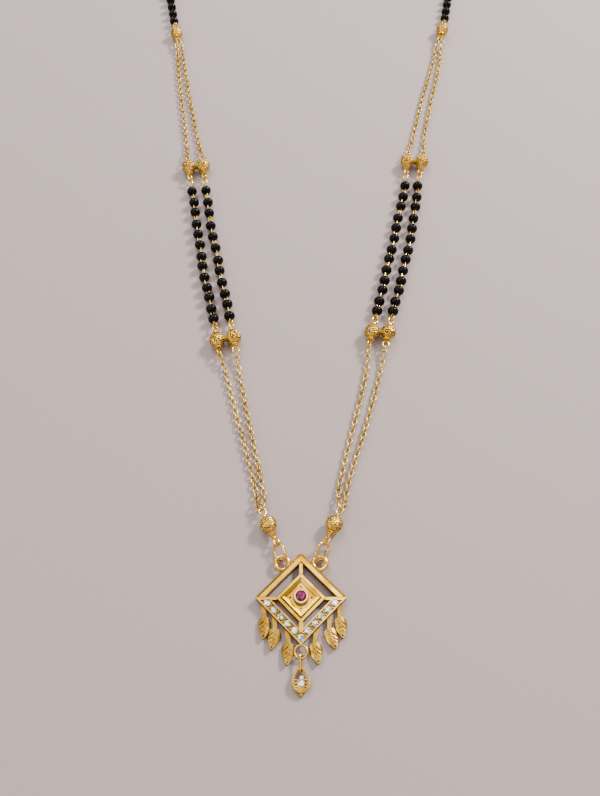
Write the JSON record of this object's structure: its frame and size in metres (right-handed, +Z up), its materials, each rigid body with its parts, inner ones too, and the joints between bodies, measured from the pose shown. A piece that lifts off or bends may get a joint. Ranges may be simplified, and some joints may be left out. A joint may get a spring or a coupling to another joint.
{
  "type": "mangalsutra necklace",
  "caption": "Black bead and gold chain necklace with paired strands, gold balls and a square leaf-fringed pendant with a red stone and a small drop.",
  "frame": {"origin": "middle of the pendant's flat back, on the surface that the necklace lies on", "axes": "+X across the loop, +Y from the pendant along the loop towards the clasp, +Z up from the surface"},
  "size_m": [0.103, 0.2924, 0.0037],
  "materials": {
    "pendant_gold": "polished gold with satin, finely scored leaves",
    "wire_gold": "bright polished gold wire",
    "ball_gold": "gold with a fine engraved texture",
    "chain_gold": "bright polished gold links",
    "black_bead": "opaque glossy black",
    "red_stone": "clear cut red stone",
    "clear_stone": "clear cut white stone"
  },
  "bodies": {
    "root": {"pendant_frame": "pendant_gold", "red_stone": "red_stone", "channel_stone_1": "clear_stone", "channel_stone_2": "clear_stone", "channel_stone_3": "clear_stone", "channel_stone_4": "clear_stone", "channel_stone_5": "clear_stone", "channel_stone_6": "clear_stone", "channel_stone_7": "clear_stone", "channel_stone_8": "clear_stone", "channel_stone_9": "clear_stone", "channel_stone_10": "clear_stone", "channel_stone_11": "clear_stone", "drop_frame": "pendant_gold", "drop_stone": "clear_stone", "drop_accent_stone": "clear_stone", "drop_ring": "wire_gold", "jump_ring_left": "wire_gold", "jump_ring_right": "wire_gold", "low_ball_left": "ball_gold", "low_ball_right": "ball_gold", "low_pin_left": "wire_gold", "low_pin_right": "wire_gold", "middle_balls_left": "ball_gold", "middle_balls_right": "ball_gold", "middle_pins_left": "wire_gold", "middle_pins_right": "wire_gold", "upper_balls_left": "ball_gold", "upper_balls_right": "ball_gold", "upper_pins_left": "wire_gold", "upper_pins_right": "wire_gold", "top_ball_left": "ball_gold", "top_ball_right": "ball_gold", "top_pin_left": "wire_gold", "top_pin_right": "wire_gold", "lower_chain_left_outer": "chain_gold", "lower_chain_left_inner": "chain_gold", "lower_chain_right_inner": "chain_gold", "lower_chain_right_outer": "chain_gold", "upper_chain_left_outer": "chain_gold", "upper_chain_left_inner": "chain_gold", "upper_chain_right_inner": "chain_gold", "upper_chain_right_outer": "chain_gold", "beads_left_outer": "black_bead", "beads_left_inner": "black_bead", "beads_right_inner": "black_bead", "beads_right_outer": "black_bead", "thread_left_outer": "wire_gold", "thread_left_inner": "wire_gold", "thread_right_inner": "wire_gold", "thread_right_outer": "wire_gold", "back_beads_left": "black_bead", "back_beads_right": "black_bead", "back_thread_left": "wire_gold", "back_thread_right": "wire_gold", "clasp_hook": "wire_gold", "clasp_ring_left": "wire_gold", "clasp_ring_right": "wire_gold"}
  },
  "joints": []
}
